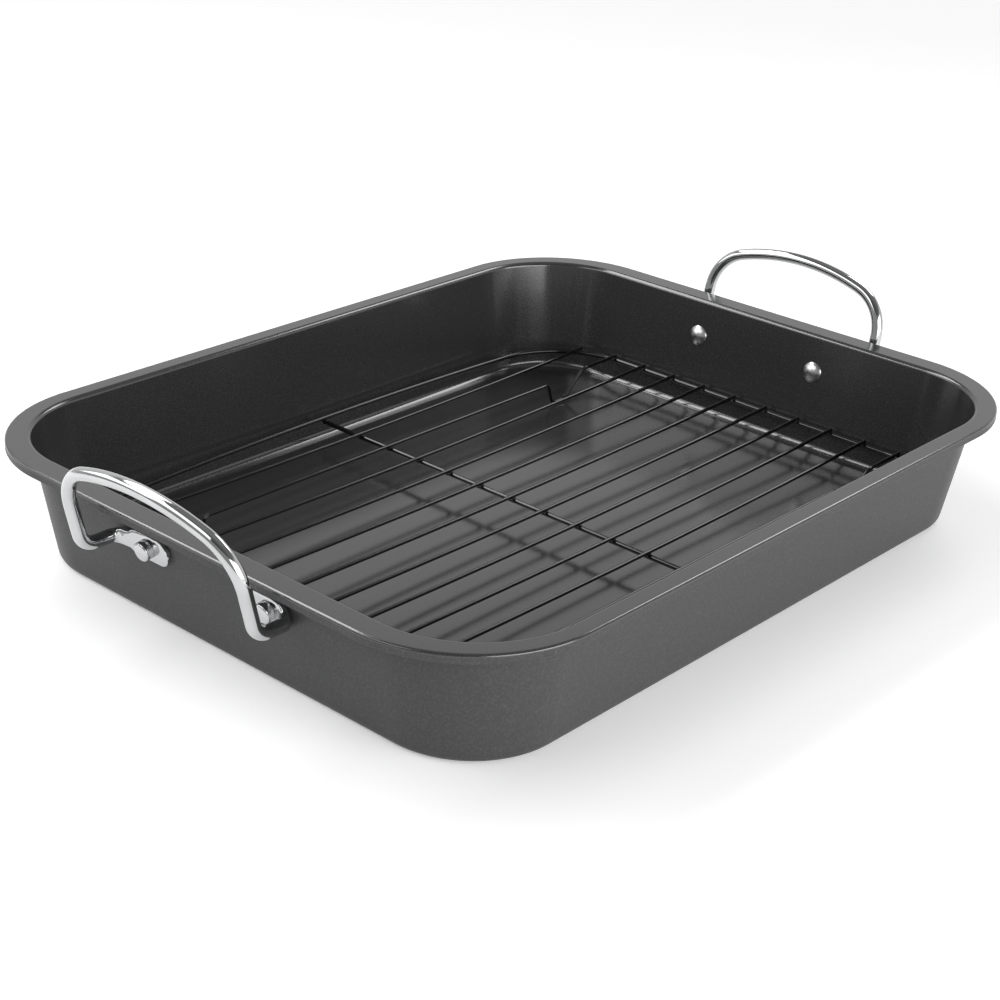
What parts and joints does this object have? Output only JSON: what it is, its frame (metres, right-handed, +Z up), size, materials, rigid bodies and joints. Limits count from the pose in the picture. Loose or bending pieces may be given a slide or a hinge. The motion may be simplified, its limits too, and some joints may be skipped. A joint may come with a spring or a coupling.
{
  "type": "roasting pan with rack",
  "caption": "Rectangular non-stick roasting pan with sloping walls, flat rim, riveted wire loop handles at both ends and a loose wire rack on the floor.",
  "frame": {"origin": "middle of the pan's flat underside", "axes": "+X towards the right handle along the pan's length, +Y towards the back, +Z up"},
  "size_m": [0.4608, 0.331, 0.092],
  "materials": {
    "pan_coating": "satin dark grey non-stick coating with a fine speckle",
    "handle_chrome": "bright chrome plated wire",
    "rivet_metal": "bright upset rivet",
    "rack_coating": "semi-gloss black coated wire"
  },
  "bodies": {
    "pan": {"pan_body": "pan_coating", "handle_left": "handle_chrome", "handle_right": "handle_chrome", "rivet_left_front": "rivet_metal", "rivet_left_back": "rivet_metal", "rivet_right_front": "rivet_metal", "rivet_right_back": "rivet_metal"},
    "rack": {"rack_frame": "rack_coating", "rack_cross_bar": "rack_coating", "rack_wire_01": "rack_coating", "rack_foot_wire_02": "rack_coating", "rack_wire_03": "rack_coating", "rack_wire_04": "rack_coating", "rack_wire_05": "rack_coating", "rack_wire_06": "rack_coating", "rack_wire_07": "rack_coating", "rack_wire_08": "rack_coating", "rack_wire_09": "rack_coating", "rack_wire_10": "rack_coating", "rack_foot_wire_11": "rack_coating", "rack_wire_12": "rack_coating"}
  },
  "joints": [
    {"name": "rack_lift", "type": "slide", "parent": "pan", "child": "rack", "axis": [0, 0, 1], "range_m": [0, 0.08]}
  ]
}
